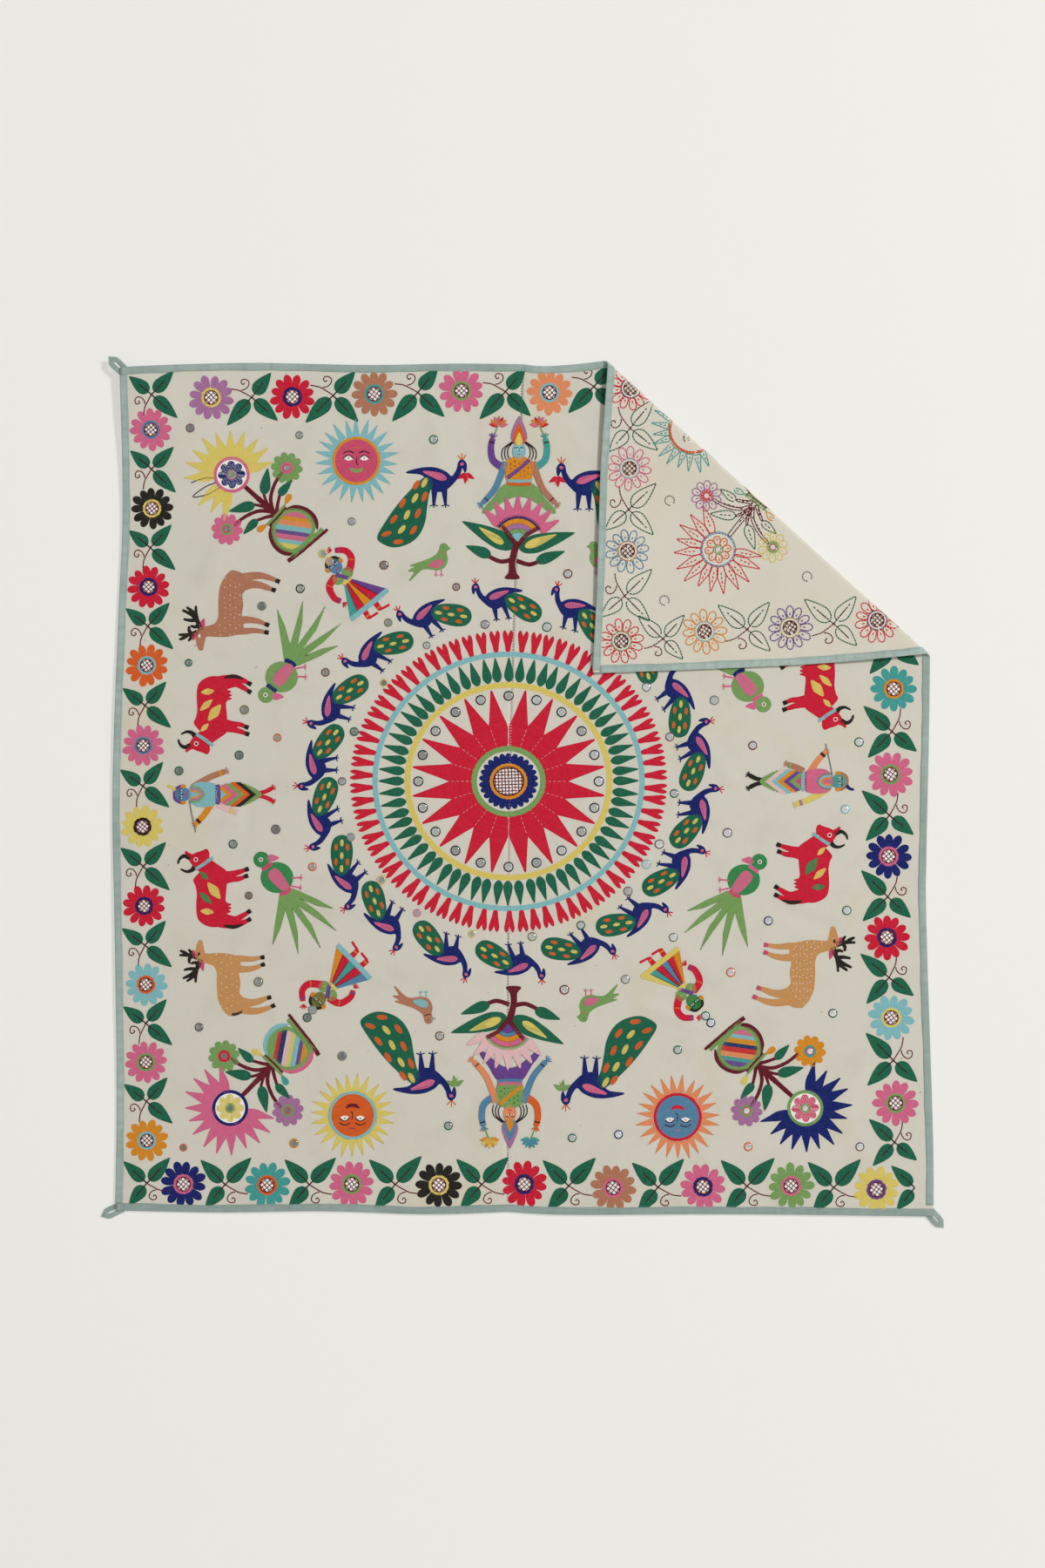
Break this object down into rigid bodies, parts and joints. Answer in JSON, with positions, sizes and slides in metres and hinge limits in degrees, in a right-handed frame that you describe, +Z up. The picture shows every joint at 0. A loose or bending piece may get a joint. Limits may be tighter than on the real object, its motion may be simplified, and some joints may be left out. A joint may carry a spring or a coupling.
{
  "type": "embroidered wall hanging",
  "caption": "Square cotton wall hanging with folk embroidery and small mirrors, bound with tape, with a loop at each corner and one top corner turned down over the front.",
  "frame": {"origin": "the middle of the top edge, at the wall, where the hanging is held", "axes": "+Z up along the cloth, +X to the viewer's right, the embroidered front faces -Y"},
  "size_m": [1.408, 0.0218, 1.4544],
  "materials": {
    "ground_cloth": "cream plain-weave cotton, aged",
    "binding_tape": "faded sea-green cotton tape",
    "mirror_glass": "old silvered glass, slightly dull",
    "embroidery_yarn": "chain-stitched cotton and silk floss in many colours"
  },
  "bodies": {
    "root": {"panel_left": "ground_cloth", "panel_right": "ground_cloth", "binding_top": "binding_tape", "binding_right": "binding_tape", "binding_bottom": "binding_tape", "binding_left": "binding_tape", "loop_top_left": "binding_tape", "loop_bottom_left": "binding_tape", "loop_bottom_right": "binding_tape", "loop_top_right": "binding_tape", "mirror_ring_01": "mirror_glass", "mirror_ring_02": "mirror_glass", "mirror_ring_03": "mirror_glass", "mirror_ring_04": "mirror_glass", "mirror_ring_05": "mirror_glass", "mirror_ring_06": "mirror_glass", "mirror_ring_07": "mirror_glass", "mirror_ring_08": "mirror_glass", "mirror_ring_09": "mirror_glass", "mirror_ring_10": "mirror_glass", "mirror_ring_11": "mirror_glass", "mirror_ring_12": "mirror_glass", "mirror_ring_13": "mirror_glass", "mirror_ring_14": "mirror_glass", "mirror_ring_15": "mirror_glass", "mirror_ring_16": "mirror_glass", "mirror_ring_17": "mirror_glass", "mirror_ring_18": "mirror_glass", "mirror_ring_19": "mirror_glass", "mirror_ring_20": "mirror_glass", "mirror_field_01": "mirror_glass", "mirror_field_02": "mirror_glass", "mirror_field_03": "mirror_glass", "mirror_field_04": "mirror_glass", "mirror_field_05": "mirror_glass", "mirror_field_06": "mirror_glass", "mirror_field_07": "mirror_glass", "mirror_field_08": "mirror_glass", "mirror_field_09": "mirror_glass", "mirror_field_10": "mirror_glass", "mirror_field_11": "mirror_glass", "mirror_field_12": "mirror_glass", "mirror_field_13": "mirror_glass", "mirror_field_14": "mirror_glass", "mirror_field_15": "mirror_glass", "mirror_field_16": "mirror_glass", "mirror_field_17": "mirror_glass", "mirror_field_18": "mirror_glass", "mirror_field_19": "mirror_glass", "mirror_field_20": "mirror_glass", "mirror_field_21": "mirror_glass", "mirror_field_22": "mirror_glass", "mirror_field_23": "mirror_glass", "mirror_field_24": "mirror_glass", "mirror_field_25": "mirror_glass", "mirror_field_26": "mirror_glass", "mirror_field_27": "mirror_glass", "mirror_field_28": "mirror_glass"}
  },
  "joints": []
}
